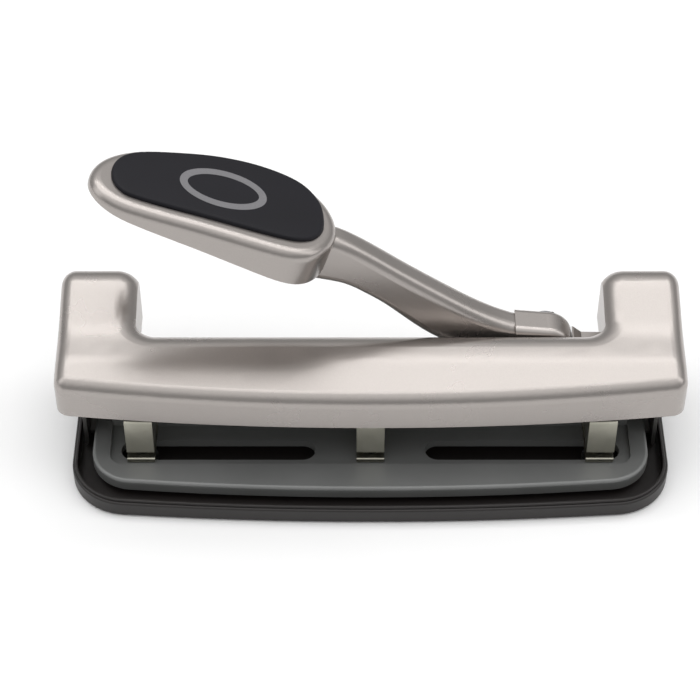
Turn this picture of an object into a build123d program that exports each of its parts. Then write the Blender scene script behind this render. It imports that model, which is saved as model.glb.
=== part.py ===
from build123d import *
import math
import os

# Three-hole paper punch with a long side lever.
# Frame: +X to the right, +Y to the back, +Z up. The origin is on the desk, under the middle
# of the whole machine. All sizes are in millimetres.

# ---- driving dimensions: holes, heads and paper
HOLE_SPACING = 108.0            # 4 1/4 in between neighbouring holes
PUNCH_DIAMETER = 7.1            # 9/32 in
PUNCH_AXIS_Y = -16.5
PAPER_STOP_Y = -2.8
THROAT_HEIGHT = 3.0             # gap that the paper goes into
PUNCH_TRAVEL = 7.0
PUNCH_REST_GAP = 0.5            # punch tip above the bottom of the upper jaw
HEAD_WIDTH = 13.0
HEAD_FRONT_Y = -24.5
HEAD_SHEET = 1.6
JAW_THICKNESS = 2.8
HEAD_TOP_Z = 38.5

# ---- driving dimensions: chip pan and base plate
PAN_DEPTH = 104.0
PAN_HEIGHT = 9.6
PAN_WALL = 2.4
PAN_FLOOR = 2.0
PAN_BOW = 6.5                   # how far the front edge falls back at the corners
PAN_CORNER = 27.0
FOOT_HEIGHT = 1.0
PLATE_MARGIN = 10.0             # plate edge inside the pan's outline, front and back
PLATE_TOP_Z = 12.8
PLATE_THICKNESS = 2.0
PLATE_CORNER = 20.0
RECESS_DEPTH = 1.8
RECESS_FRONT_Y = -26.4
RECESS_BACK_Y = 34.0
SLOT_WIDTH = 12.0
SLOT_INNER_X = 26.0
SLOT_WALL = 4.0
STOP_WALL_HEIGHT = 6.4

# ---- driving dimensions: frame inside the cover
END_PLATE_SHEET = 1.8
END_PLATE_FRONT_Y = -7.0
END_PLATE_BACK_Y = 33.0
END_PLATE_TOP_Z = 54.0
END_FOOT_Z = 4.8                # underside of the flange below the base plate
REAR_PLATE_Y = 3.8
REAR_PLATE_SHEET = 1.6
REAR_PLATE_TOP_Z = 56.0
GUIDE_ROD_DIAMETER = 5.0
GUIDE_ROD_Y = -7.0
GUIDE_ROD_Z = 32.0

# ---- driving dimensions: cover
COVER_FRONT_Y = -28.0
COVER_BOW = 8.2
COVER_BOTTOM_Z = 39.5
COVER_BAND_TOP_Z = 57.5
COVER_CREST_Y = -7.6
COVER_BACK_Y = 49.0
COVER_BACK_Z = 73.0
CROWN = [(-18.0, 60.3), (COVER_CREST_Y, 63.0), (2.0, 64.1), (14.0, 66.0), (30.0, 70.6)]  # y, z
COVER_MIDDLE_BACK_Y = 11.6
COVER_WALL = 2.0
COVER_EDGE = 7.0                # rounding of the outside edges
TOWER_BACK_ROLL = 11.0          # rounding of the towers' back edge
NOTCH_ROLL = 12.0               # wide rounding round the notch for the lever
NOTCH_ROLL_CUT = 2.0            # part of that rounding that the notch walls take away
NOTCH_CORNER = 5.5

# ---- driving dimensions: lever
PIVOT_X = 83.0
PIVOT_Z = 48.0
LEVER_STROKE = 16.0             # degrees
ARM_FRONT_Y = 14.0
ARM_BACK_Y = 28.0
HUB_RADIUS = 12.4
SHAFT_DIAMETER = 8.0
PADDLE_TILT = 18.0              # degrees
PADDLE_ROOT_X = -15.6
PADDLE_ROOT_Z = 122.5

# ---- driving dimensions: drive train
GEAR_MODULE = 2.0
GEAR_TEETH = 28                 # teeth that the whole wheel would have
PRESSURE_ANGLE = 20.0
BACKLASH = 0.35
PRESS_FLANGE_Z = 49.7
PRESS_SHEET = 2.4
PRESS_WEB_Y = -0.8
PRESS_WEB_SHEET = 1.6
PRESS_WEB_BOTTOM_Z = 25.0
SLIDE_BAR_Y = 1.3
SLIDE_BAR_SHEET = 2.0
FOLLOWER_DIAMETER = 5.0
FOLLOWER_XS = (-70.0, 34.0)
FOLLOWER_Z = 30.0
GUIDE_PIN_XS = (-100.0, 2.0)
GUIDE_PIN_Z = 24.0
GUIDE_PIN_DIAMETER = 5.0

# ---- clearances
RUNNING_FIT = 0.08              # radial, shafts and pins that turn or slide
SLIDING_GAP = 0.2               # flat faces that pass each other
LOOSE_GAP = 0.5

# ---- derived sizes
END_PLATE_X = HOLE_SPACING + 26.5
PAN_HALF_WIDTH = END_PLATE_X + 6.5
PLATE_HALF_WIDTH = END_PLATE_X - 3.0
RECESS_HALF_WIDTH = END_PLATE_X - 11.5
COVER_HALF_WIDTH = END_PLATE_X + 11.7
TOWER_INNER_X = END_PLATE_X - 24.5
SLOT_OUTER_X = HOLE_SPACING + 10.0
GEAR_RADIUS = GEAR_MODULE * GEAR_TEETH / 2
BAR_TRAVEL = GEAR_RADIUS * math.radians(LEVER_STROKE)
RECESS_Z = PLATE_TOP_Z - RECESS_DEPTH
PLATE_SKIRT_Z = END_FOOT_Z + END_PLATE_SHEET
JAW_BOTTOM_Z = RECESS_Z + SLIDING_GAP
JAW_TOP_Z = JAW_BOTTOM_Z + JAW_THICKNESS
UPPER_JAW_Z = JAW_TOP_Z + THROAT_HEIGHT
HEAD_STRIP_Y = HEAD_FRONT_Y + 0.8
HEAD_BACK_Y = PAPER_STOP_Y + HEAD_SHEET
PUNCH_TOP_Z = PRESS_FLANGE_Z - SLIDING_GAP
PLATE_FRONT_Y = -PAN_DEPTH / 2 + PLATE_MARGIN
PLATE_BACK_Y = PAN_DEPTH / 2 - PLATE_MARGIN
SLOT_LENGTH = SLOT_OUTER_X - SLOT_INNER_X
SLOT_MIDDLE_X = (SLOT_OUTER_X + SLOT_INNER_X) / 2
HEAD_XS = {"left": -HOLE_SPACING, "centre": 0.0, "right": HOLE_SPACING}

os.makedirs("parts", exist_ok=True)


# ---- helpers
def block(x0, x1, y0, y1, z0, z1):
    """Box between two corners."""
    size = Box(x1 - x0, y1 - y0, z1 - z0)
    return Pos((x0 + x1) / 2, (y0 + y1) / 2, (z0 + z1) / 2) * size


def rod_x(x0, x1, y, z, diameter):
    """Round bar along X."""
    return Pos((x0 + x1) / 2, y, z) * Rot(0, 90, 0) * Cylinder(diameter / 2, x1 - x0)


def rod_y(y0, y1, x, z, diameter):
    """Round bar along Y."""
    return Pos(x, (y0 + y1) / 2, z) * Rot(90, 0, 0) * Cylinder(diameter / 2, y1 - y0)


def rod_z(z0, z1, x, y, diameter):
    """Round bar along Z."""
    return Pos(x, y, (z0 + z1) / 2) * Cylinder(diameter / 2, z1 - z0)


def prism(points, direction):
    """Straight prism from a closed outline of 3-D points."""
    face = make_face(Polyline(*points, close=True))
    return extrude(face, amount=Vector(*direction).length, dir=direction)


def plate_in_xz(outline, y0, y1):
    """Flat plate whose outline lies in the XZ plane."""
    return prism([(x, y0, z) for x, z in outline], (0, y1 - y0, 0))


def plate_in_yz(outline, x0, x1):
    """Flat plate whose outline lies in the YZ plane."""
    return prism([(x0, y, z) for y, z in outline], (x1 - x0, 0, 0))


def bowed_slab(half_width, y_front, y_back, bow, corner, z0, z1):
    """Slab with a front edge that is one long arc, and four round corners."""
    side_y = y_front + bow
    arc = ThreePointArc((-half_width, side_y, z0), (0, y_front, z0), (half_width, side_y, z0))
    rest = Polyline((half_width, side_y, z0), (half_width, y_back, z0),
                    (-half_width, y_back, z0), (-half_width, side_y, z0))
    slab = extrude(make_face([arc, rest]), amount=z1 - z0, dir=(0, 0, 1))
    return fillet(slab.edges().filter_by(Axis.Z), corner)


def slot_y(x0, z0, x1, z1, diameter, y0, y1):
    """Round-ended slot cutter along Y, from one centre to the other."""
    run = Vector(x1 - x0, 0, z1 - z0)
    across = Vector(-run.Z, 0, run.X).normalized() * (diameter / 2)
    start = Vector(x0, y0, z0)
    end = start + run
    middle = prism([tuple(p) for p in (start + across, end + across, end - across, start - across)],
                   (0, y1 - y0, 0))
    return middle + rod_y(y0, y1, x0, z0, diameter) + rod_y(y0, y1, x1, z1, diameter)


def slot_z(x_mid, y, length, width, z0, z1):
    """Round-ended slot cutter along Z, long way along X."""
    return Pos(x_mid, y, z0) * extrude(SlotOverall(length, width), amount=z1 - z0)


def save(name, *solids):
    """Write one node; separate solids of the same kind share it."""
    loose = []
    for shape in solids:
        loose.extend(shape.solids())
    export_step(loose[0] if len(loose) == 1 else Compound(children=loose), f"parts/{name}.step")


# ---- chip pan
PAN_TOP_Z = PAN_HEIGHT
PAN_BEAD = 1.2                  # height and width of the step on the rim
PAN_POST_DIAMETER = 9.0
SHELF_POSTS = [(x, -33.0) for x in (-78.0, -24.0, 24.0, 78.0)]
RECESS_POSTS = [(x, 27.0) for x in (-104.0, -40.0, 40.0, 104.0)]
FOOT_DIAMETER = 12.0
FOOT_SINK = 0.8


def pan_slab(inset, z0, z1):
    """Pan outline, moved inwards by a given amount."""
    return bowed_slab(PAN_HALF_WIDTH - inset, -PAN_DEPTH / 2 + inset, PAN_DEPTH / 2 - inset,
                      PAN_BOW, PAN_CORNER - inset, z0, z1)


def foot_places():
    """Rubber feet near the four corners."""
    return [(x, y) for x in (-112.0, 112.0) for y in (-32.0, 38.0)]


def make_base_pan():
    lower = pan_slab(0, FOOT_HEIGHT, PAN_TOP_Z - PAN_BEAD)
    lower = fillet(lower.edges().group_by(Axis.Z)[-1], PAN_BEAD * 0.8)
    bead = pan_slab(PAN_BEAD, PAN_TOP_Z - 2 * PAN_BEAD, PAN_TOP_Z)
    bead = fillet(bead.edges().group_by(Axis.Z)[-1], PAN_BEAD * 0.6)
    pan = lower + bead - pan_slab(PAN_WALL, FOOT_HEIGHT + PAN_FLOOR, PAN_TOP_Z + 1)
    for x, y in SHELF_POSTS:
        pan += rod_z(FOOT_HEIGHT, PLATE_TOP_Z - PLATE_THICKNESS, x, y, PAN_POST_DIAMETER)
    for x, y in RECESS_POSTS:
        pan += rod_z(FOOT_HEIGHT, RECESS_Z - PLATE_THICKNESS, x, y, PAN_POST_DIAMETER)
    for x, y in foot_places():
        pan -= rod_z(FOOT_HEIGHT - 1, FOOT_HEIGHT + FOOT_SINK, x, y, FOOT_DIAMETER)
    return pan


def make_rubber_feet():
    return [rod_z(0, FOOT_HEIGHT + FOOT_SINK, x, y, FOOT_DIAMETER) for x, y in foot_places()]


save("base_pan", make_base_pan())
save("rubber_feet", *make_rubber_feet())


# ---- base plate: shelf, recess, slots, stop wall and screw bosses
DIE_DIAMETER = 10.0
DIE_BOTTOM_Z = 4.8
RECESS_CORNER = 6.0
BASE_BOSS_DIAMETER = 8.0
SCREW_DIAMETER = 3.0
SCREW_HEAD_DIAMETER = 6.0
SCREW_HEAD_HEIGHT = 1.4
END_FOOT_REACH = 20.0
BASE_SCREWS = [(side * (END_PLATE_X - 12), y) for side in (-1, 1) for y in (4.0, 22.0)]
REAR_FOOT_DEPTH = 12.0
LUG_Y = 30.4
LUG_SHEET = 2.0
LUG_HALF_WIDTH = 13.0
LUG_TOP = 7.0                   # above the shaft
LUG_FOOT_DEPTH = 11.0
REAR_SCREWS = [(x, REAR_PLATE_Y + REAR_PLATE_SHEET + 6.0) for x in (-100.0, 30.0, 116.0)]
LUG_SCREWS = [(PIVOT_X + x, LUG_Y - 6.0) for x in (-8.0, 8.0)]


def plate_slab(inset, z0, z1):
    """Base plate outline, moved inwards by a given amount."""
    return bowed_slab(PLATE_HALF_WIDTH - inset, PLATE_FRONT_Y + inset, PLATE_BACK_Y - inset,
                      PAN_BOW, PLATE_CORNER - inset, z0, z1)


def recess_slab(inset, z0, z1):
    """Recess outline."""
    half_x = RECESS_HALF_WIDTH - inset
    slab = block(-half_x, half_x, RECESS_FRONT_Y + inset, RECESS_BACK_Y - inset, z0, z1)
    return fillet(slab.edges().filter_by(Axis.Z), RECESS_CORNER)


def make_base_plate():
    plate = plate_slab(0, PLATE_SKIRT_Z, PLATE_TOP_Z)
    plate = fillet(plate.edges().group_by(Axis.Z)[-1], 1.6)
    plate -= plate_slab(PLATE_THICKNESS, PLATE_SKIRT_Z - 1, PLATE_TOP_Z - PLATE_THICKNESS)
    plate += recess_slab(-PLATE_THICKNESS, RECESS_Z - PLATE_THICKNESS, PLATE_TOP_Z)
    plate -= recess_slab(0, RECESS_Z, PLATE_TOP_Z + 1)
    for side in (-1, 1):
        x = side * SLOT_MIDDLE_X
        plate += slot_z(x, PUNCH_AXIS_Y, SLOT_LENGTH + 2 * SLOT_WALL, SLOT_WIDTH + 2 * SLOT_WALL,
                        RECESS_Z - SLOT_WALL, RECESS_Z)
        plate -= slot_z(x, PUNCH_AXIS_Y, SLOT_LENGTH, SLOT_WIDTH, 0, RECESS_Z + 1)
    plate -= rod_z(0, RECESS_Z + 1, 0, PUNCH_AXIS_Y, SLOT_WIDTH)
    plate += block(-RECESS_HALF_WIDTH, RECESS_HALF_WIDTH, HEAD_BACK_Y + 0.3, PRESS_WEB_Y + 1.5,
                   RECESS_Z, RECESS_Z + STOP_WALL_HEIGHT)
    for x, y in BASE_SCREWS:
        plate += rod_z(END_FOOT_Z + END_PLATE_SHEET, RECESS_Z - PLATE_THICKNESS + 0.5, x, y,
                       BASE_BOSS_DIAMETER)
        plate -= rod_z(0, RECESS_Z - PLATE_THICKNESS, x, y, SCREW_DIAMETER)
    for x, y in REAR_SCREWS + LUG_SCREWS:
        plate -= rod_z(0, RECESS_Z + 1, x, y, SCREW_DIAMETER)
    return plate


save("base_plate", make_base_plate())


# ---- end plates, with a flange under the base plate and an ear for the cover screws
EAR_Z = 45.0
EAR_REACH = 7.0
COVER_SCREWS = [(side * (END_PLATE_X + END_PLATE_SHEET + 3.6), y) for side in (-1, 1) for y in (4.0, 24.0)]
TONGUE_Y = -6.0
TONGUE_WIDTH = 5.0


def make_end_plate(side):
    inner = side * END_PLATE_X
    outer = side * (END_PLATE_X + END_PLATE_SHEET)
    outline = [(END_PLATE_FRONT_Y, END_FOOT_Z), (END_PLATE_BACK_Y, END_FOOT_Z),
               (END_PLATE_BACK_Y, END_PLATE_TOP_Z), (PUNCH_AXIS_Y + 5, END_PLATE_TOP_Z),
               (PUNCH_AXIS_Y, END_PLATE_TOP_Z - 5), (PUNCH_AXIS_Y, GUIDE_ROD_Z + 4),
               (END_PLATE_FRONT_Y, GUIDE_ROD_Z - 5.5)]
    plate = plate_in_yz(outline, inner, outer)
    foot = sorted((inner - side * END_FOOT_REACH, outer))
    plate += block(*foot, 0, 26, END_FOOT_Z, END_FOOT_Z + END_PLATE_SHEET)
    ear = sorted((inner, outer + side * EAR_REACH))
    plate += block(*ear, 0, 28, EAR_Z, EAR_Z + END_PLATE_SHEET)
    low = min(inner, outer) - 1
    high = max(inner, outer) + 1
    plate -= rod_x(low, high, GUIDE_ROD_Y, GUIDE_ROD_Z, GUIDE_ROD_DIAMETER)
    plate -= block(low, high, TONGUE_Y - SLIDING_GAP, TONGUE_Y + TONGUE_WIDTH + SLIDING_GAP,
                   PRESS_FLANGE_Z - PUNCH_TRAVEL - SLIDING_GAP,
                   PRESS_FLANGE_Z + PRESS_SHEET + SLIDING_GAP)
    for x, y in BASE_SCREWS + COVER_SCREWS:
        plate -= rod_z(END_FOOT_Z - 1, EAR_Z + 5, x, y, SCREW_DIAMETER)
    return plate


save("end_plate_left", make_end_plate(-1))
save("end_plate_right", make_end_plate(1))


# ---- guide rod that the heads slide on, with a push-on clip at each end
ROD_CLIP_SHEET = 1.0
ROD_CLIP_DIAMETER = 11.0
ROD_STICK_OUT = 2.5
rod_end = END_PLATE_X + END_PLATE_SHEET + ROD_STICK_OUT
save("guide_rod", rod_x(-rod_end, rod_end, GUIDE_ROD_Y, GUIDE_ROD_Z, GUIDE_ROD_DIAMETER))


def make_rod_clip(side):
    inner = side * (END_PLATE_X + END_PLATE_SHEET)
    ends = sorted((inner, inner + side * ROD_CLIP_SHEET))
    clip = rod_x(*ends, GUIDE_ROD_Y, GUIDE_ROD_Z, ROD_CLIP_DIAMETER)
    clip -= rod_x(*ends, GUIDE_ROD_Y, GUIDE_ROD_Z, GUIDE_ROD_DIAMETER)
    return clip


save("rod_clips", make_rod_clip(-1), make_rod_clip(1))


# ---- rear frame plate, standing on the base plate, and the outer lug behind the lever
BUSH_DIAMETER = 12.0


def make_rear_plate():
    reach = END_PLATE_X
    plate = block(-reach, reach, REAR_PLATE_Y, REAR_PLATE_Y + REAR_PLATE_SHEET,
                  RECESS_Z, REAR_PLATE_TOP_Z)
    foot_reach = RECESS_HALF_WIDTH - 1
    plate -= block(-reach, -foot_reach, REAR_PLATE_Y, REAR_PLATE_Y + REAR_PLATE_SHEET,
                   RECESS_Z, PLATE_TOP_Z + SLIDING_GAP)
    plate -= block(foot_reach, reach, REAR_PLATE_Y, REAR_PLATE_Y + REAR_PLATE_SHEET,
                   RECESS_Z, PLATE_TOP_Z + SLIDING_GAP)
    plate += block(-foot_reach, foot_reach, REAR_PLATE_Y, REAR_PLATE_Y + REAR_FOOT_DEPTH,
                   RECESS_Z, RECESS_Z + REAR_PLATE_SHEET)
    plate -= rod_y(REAR_PLATE_Y - 1, REAR_PLATE_Y + 3, PIVOT_X, PIVOT_Z, BUSH_DIAMETER)
    for x in GUIDE_PIN_XS:
        plate -= rod_y(REAR_PLATE_Y - 1, REAR_PLATE_Y + 3, x, GUIDE_PIN_Z, GUIDE_PIN_DIAMETER)
    for x, y in REAR_SCREWS:
        plate -= rod_z(RECESS_Z - 1, RECESS_Z + 3, x, y, SCREW_DIAMETER)
    return plate


def make_lug():
    outline = [(PIVOT_X - LUG_HALF_WIDTH, RECESS_Z), (PIVOT_X + LUG_HALF_WIDTH, RECESS_Z),
               (PIVOT_X + LUG_HALF_WIDTH - 3, PIVOT_Z), (PIVOT_X + 4, PIVOT_Z + LUG_TOP),
               (PIVOT_X - 4, PIVOT_Z + LUG_TOP), (PIVOT_X - LUG_HALF_WIDTH + 3, PIVOT_Z)]
    lug = plate_in_xz(outline, LUG_Y, LUG_Y + LUG_SHEET)
    lug += block(PIVOT_X - LUG_HALF_WIDTH, PIVOT_X + LUG_HALF_WIDTH, LUG_Y - LUG_FOOT_DEPTH,
                 LUG_Y + LUG_SHEET, RECESS_Z, RECESS_Z + LUG_SHEET)
    lug -= rod_y(LUG_Y - 1, LUG_Y + LUG_SHEET + 1, PIVOT_X, PIVOT_Z, BUSH_DIAMETER)
    for x, y in LUG_SCREWS:
        lug -= rod_z(RECESS_Z - 1, RECESS_Z + 3, x, y, SCREW_DIAMETER)
    return lug


save("rear_frame_plate", make_rear_plate())
save("pivot_lug", make_lug())

BUSH_FLANGE_DIAMETER = 16.0
BUSH_FLANGE = 1.0


def make_bush(y0, y1, flange_y):
    """Plain bush with a flange one sheet thick, on the side of the lever."""
    bush = rod_y(y0, y1, PIVOT_X, PIVOT_Z, BUSH_DIAMETER)
    bush += rod_y(flange_y, flange_y + BUSH_FLANGE, PIVOT_X, PIVOT_Z, BUSH_FLANGE_DIAMETER)
    bush -= rod_y(y0 - 1, y1 + 2, PIVOT_X, PIVOT_Z, SHAFT_DIAMETER + 2 * RUNNING_FIT)
    return bush


front_bush_end = ARM_FRONT_Y - 1.2
save("shaft_bushes",
     make_bush(REAR_PLATE_Y, front_bush_end, front_bush_end - BUSH_FLANGE),
     make_bush(LUG_Y - BUSH_FLANGE, LUG_Y + LUG_SHEET, LUG_Y - BUSH_FLANGE))

# ---- fixed pins that carry the slide bar
save("guide_pins", *[rod_y(PRESS_WEB_Y + PRESS_WEB_SHEET + SLIDING_GAP,
                           REAR_PLATE_Y + REAR_PLATE_SHEET, x, GUIDE_PIN_Z, GUIDE_PIN_DIAMETER)
                     for x in GUIDE_PIN_XS])

# ---- screws
BASE_SCREW_LENGTH = RECESS_Z - PLATE_THICKNESS - END_FOOT_Z
FOOT_SCREW_LENGTH = 5.0
COVER_SCREW_LENGTH = 9.0


def screw_up(x, y, z, length):
    """Pan-head screw with its head below a face at z, shank upwards."""
    head = rod_z(z - SCREW_HEAD_HEIGHT, z, x, y, SCREW_HEAD_DIAMETER)
    cross = block(x - 1.8, x + 1.8, y - 0.4, y + 0.4, z - SCREW_HEAD_HEIGHT, z - SCREW_HEAD_HEIGHT + 0.7)
    cross += block(x - 0.4, x + 0.4, y - 1.8, y + 1.8, z - SCREW_HEAD_HEIGHT, z - SCREW_HEAD_HEIGHT + 0.7)
    return head + rod_z(z, z + length, x, y, SCREW_DIAMETER) - cross


def screw_down(x, y, z, length):
    """Pan-head screw with its head above a face at z, shank downwards."""
    head = rod_z(z, z + SCREW_HEAD_HEIGHT, x, y, SCREW_HEAD_DIAMETER)
    top = z + SCREW_HEAD_HEIGHT
    cross = block(x - 1.8, x + 1.8, y - 0.4, y + 0.4, top - 0.7, top)
    cross += block(x - 0.4, x + 0.4, y - 1.8, y + 1.8, top - 0.7, top)
    return head + rod_z(z - length, z, x, y, SCREW_DIAMETER) - cross


save("base_screws", *[screw_up(x, y, END_FOOT_Z, BASE_SCREW_LENGTH) for x, y in BASE_SCREWS])
save("frame_screws",
     *[screw_down(x, y, RECESS_Z + REAR_PLATE_SHEET, FOOT_SCREW_LENGTH) for x, y in REAR_SCREWS],
     *[screw_down(x, y, RECESS_Z + LUG_SHEET, FOOT_SCREW_LENGTH) for x, y in LUG_SCREWS])
save("cover_screws", *[screw_up(x, y, EAR_Z, COVER_SCREW_LENGTH) for x, y in COVER_SCREWS])


# ---- cover: one moulded shell with a tower at each end
COVER_HEADROOM = 20.0
COVER_BOSS_DIAMETER = 6.6


def notch_slab(wall_y, wall_x, corner, low, high):
    """Upright block that fills the notch between the towers."""
    slab = block(-wall_x, wall_x, wall_y, COVER_BACK_Y + 1, low, high)
    return fillet(slab.edges().filter_by(Axis.Z).group_by(Axis.Y)[0], corner)


def cover_body(inset):
    """Outside (inset 0) or inside (inset = wall) of the cover as a solid block."""
    half = COVER_HALF_WIDTH - inset
    front = COVER_FRONT_Y + inset
    back = COVER_BACK_Y - inset
    bottom = COVER_BOTTOM_Z - inset
    roof = COVER_BACK_Z + COVER_HEADROOM
    side_y = front + COVER_BOW
    arc = ThreePointArc((-half, side_y, bottom), (0, front, bottom), (half, side_y, bottom))
    rest = Polyline((half, side_y, bottom), (half, back, bottom), (-half, back, bottom),
                    (-half, side_y, bottom))
    body = extrude(make_face([arc, rest]), amount=roof - bottom, dir=(0, 0, 1))
    profile = [(front - 1, COVER_BAND_TOP_Z)] + CROWN + [(back, COVER_BACK_Z)]
    crown = Spline(*[(-half - 1, y, z - inset) for y, z in profile])
    above = Polyline((-half - 1, back, COVER_BACK_Z - inset), (-half - 1, back + 1, COVER_BACK_Z - inset),
                     (-half - 1, back + 1, roof + 1), (-half - 1, front - 1, roof + 1),
                     (-half - 1, front - 1, COVER_BAND_TOP_Z - inset))
    body -= extrude(make_face([crown, above]), amount=2 * half + 2, dir=(1, 0, 0))
    flare_y = COVER_MIDDLE_BACK_Y + NOTCH_ROLL_CUT - inset
    flare_x = TOWER_INNER_X - NOTCH_ROLL_CUT + inset
    body -= notch_slab(flare_y, flare_x, NOTCH_CORNER + NOTCH_ROLL_CUT + inset, bottom - 1, roof + 1)
    rim = [e for e in body.edges() if abs(e.center().X) < flare_x + 0.1
           and e.center().Y > COVER_CREST_Y and e.bounding_box().min.Z > bottom + 4]
    body = fillet(rim, NOTCH_ROLL - inset)
    back_edges = [e for e in body.edges() if e.bounding_box().min.Y > back - 0.1
                  and abs(e.center().X) < half - 1 and e.bounding_box().max.Z > bottom + 4]
    body = fillet(back_edges, TOWER_BACK_ROLL - inset)
    low = body.edges().group_by(Axis.Z)[0]
    outer = [e for e in body.edges() if e not in low
             and (abs(abs(e.center().X) - half) < 0.1 or e.bounding_box().max.Y < front + COVER_BOW + 0.5)]
    body = fillet(outer, COVER_EDGE - inset)
    return body - notch_slab(COVER_MIDDLE_BACK_Y - inset, TOWER_INNER_X + inset, NOTCH_CORNER + inset,
                             bottom - 1, roof + 1)


def make_cover():
    outside = cover_body(0)
    cover = outside - cover_body(COVER_WALL)
    for x, y in COVER_SCREWS:
        cover += rod_z(EAR_Z + END_PLATE_SHEET, COVER_BACK_Z, x, y, COVER_BOSS_DIAMETER) & outside
        cover -= rod_z(EAR_Z, EAR_Z + COVER_SCREW_LENGTH, x, y, SCREW_DIAMETER)
    cover -= rod_y(0, COVER_MIDDLE_BACK_Y + 1, PIVOT_X, PIVOT_Z, BUSH_DIAMETER)
    return cover


cover = make_cover()
save("cover", cover)


# ---- punch heads: bent steel brackets that carry the punches
HEAD_BORE = GUIDE_ROD_DIAMETER + 2 * RUNNING_FIT
SPRING_DIAMETER = 9.0
SPRING_WIRE = 0.7
SPRING_TURNS = 6
SPRING_TOP_Z = 33.5
RING_DIAMETER = 15.0
RING_SHEET = 1.4
CLIP_SHEET = 1.0
PUNCH_HEAD_DIAMETER = 9.0
PUNCH_HEAD_HEIGHT = 2.0


def make_head(x):
    """Closed bracket with a jaw below the paper gap, a box above it and a back wall."""
    half = HEAD_WIDTH / 2
    bracket = block(x - half, x + half, HEAD_FRONT_Y, HEAD_BACK_Y, JAW_BOTTOM_Z, JAW_TOP_Z)
    bracket = fillet(bracket.edges().filter_by(Axis.X).group_by(Axis.Y)[0], 0.8)
    bracket += block(x - half, x + half, PAPER_STOP_Y, HEAD_BACK_Y, JAW_BOTTOM_Z, HEAD_TOP_Z)
    shell = block(x - half, x + half, HEAD_STRIP_Y, HEAD_BACK_Y, UPPER_JAW_Z, HEAD_TOP_Z)
    shell = fillet(shell.edges().filter_by(Axis.X).group_by(Axis.Y)[0], 1.0)
    shell -= block(x - half + HEAD_SHEET, x + half - HEAD_SHEET, HEAD_STRIP_Y + HEAD_SHEET,
                   PAPER_STOP_Y, UPPER_JAW_Z + HEAD_SHEET, HEAD_TOP_Z - HEAD_SHEET)
    bracket += shell
    bracket -= rod_x(x - half - 1, x + half + 1, GUIDE_ROD_Y, GUIDE_ROD_Z, HEAD_BORE)
    bracket -= rod_z(JAW_BOTTOM_Z - 1, JAW_TOP_Z + 1, x, PUNCH_AXIS_Y, DIE_DIAMETER)
    bracket -= rod_z(UPPER_JAW_Z - 1, HEAD_TOP_Z + 1, x, PUNCH_AXIS_Y,
                     PUNCH_DIAMETER + 2 * RUNNING_FIT)
    return bracket


def make_die(x):
    die = rod_z(DIE_BOTTOM_Z, JAW_TOP_Z, x, PUNCH_AXIS_Y, DIE_DIAMETER)
    return die - rod_z(DIE_BOTTOM_Z - 1, JAW_TOP_Z + 1, x, PUNCH_AXIS_Y,
                       PUNCH_DIAMETER + 2 * RUNNING_FIT)


def make_die_ring(x):
    top = RECESS_Z - SLOT_WALL - SLIDING_GAP
    ring = rod_z(top - RING_SHEET, top, x, PUNCH_AXIS_Y, RING_DIAMETER)
    return ring - rod_z(top - RING_SHEET, top, x, PUNCH_AXIS_Y, DIE_DIAMETER)


def make_punch(x):
    """Hardened pin with a mushroom head; its lower end is ground to a shallow V."""
    tip_z = UPPER_JAW_Z + PUNCH_REST_GAP
    punch = rod_z(tip_z, PUNCH_TOP_Z, x, PUNCH_AXIS_Y, PUNCH_DIAMETER)
    punch += rod_z(PUNCH_TOP_Z - PUNCH_HEAD_HEIGHT, PUNCH_TOP_Z, x, PUNCH_AXIS_Y,
                   PUNCH_HEAD_DIAMETER)
    radius = PUNCH_DIAMETER / 2
    grind = 1.2
    punch -= plate_in_yz([(PUNCH_AXIS_Y - radius - 1, tip_z - 1), (PUNCH_AXIS_Y + radius + 1, tip_z - 1),
                          (PUNCH_AXIS_Y + radius, tip_z), (PUNCH_AXIS_Y, tip_z + grind),
                          (PUNCH_AXIS_Y - radius, tip_z)], x - radius - 1, x + radius + 1)
    return punch


def make_spring_clip(x):
    clip = rod_z(SPRING_TOP_Z, SPRING_TOP_Z + CLIP_SHEET, x, PUNCH_AXIS_Y, PUNCH_HEAD_DIAMETER)
    return clip - rod_z(SPRING_TOP_Z, SPRING_TOP_Z + CLIP_SHEET, x, PUNCH_AXIS_Y, PUNCH_DIAMETER)


def make_spring(x):
    """Compression spring between the upper jaw and the clip on the punch."""
    low = UPPER_JAW_Z + HEAD_SHEET + SPRING_WIRE / 2 + 0.05
    high = SPRING_TOP_Z - SPRING_WIRE / 2 - 0.05
    radius = (SPRING_DIAMETER - SPRING_WIRE) / 2
    path = Helix((high - low) / SPRING_TURNS, high - low, radius, center=(x, PUNCH_AXIS_Y, low))
    wire = Plane(path @ 0, z_dir=path % 0) * Circle(SPRING_WIRE / 2)
    return sweep(wire, path=path, is_frenet=True)


for name, x in HEAD_XS.items():
    save(f"head_{name}", make_head(x))
    save(f"die_{name}", make_die(x))
    save(f"die_ring_{name}", make_die_ring(x))
    save(f"punch_{name}", make_punch(x))
    save(f"spring_clip_{name}", make_spring_clip(x))
    save(f"punch_spring_{name}", make_spring(x))


# ---- press bar: flange over the punches, web behind the heads, tongues in the end plates
PRESS_FRONT_Y = PUNCH_AXIS_Y - 4.4
PRESS_WIDE_X = HOLE_SPACING + 5.0
PRESS_END_X = END_PLATE_X - 1.0


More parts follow.
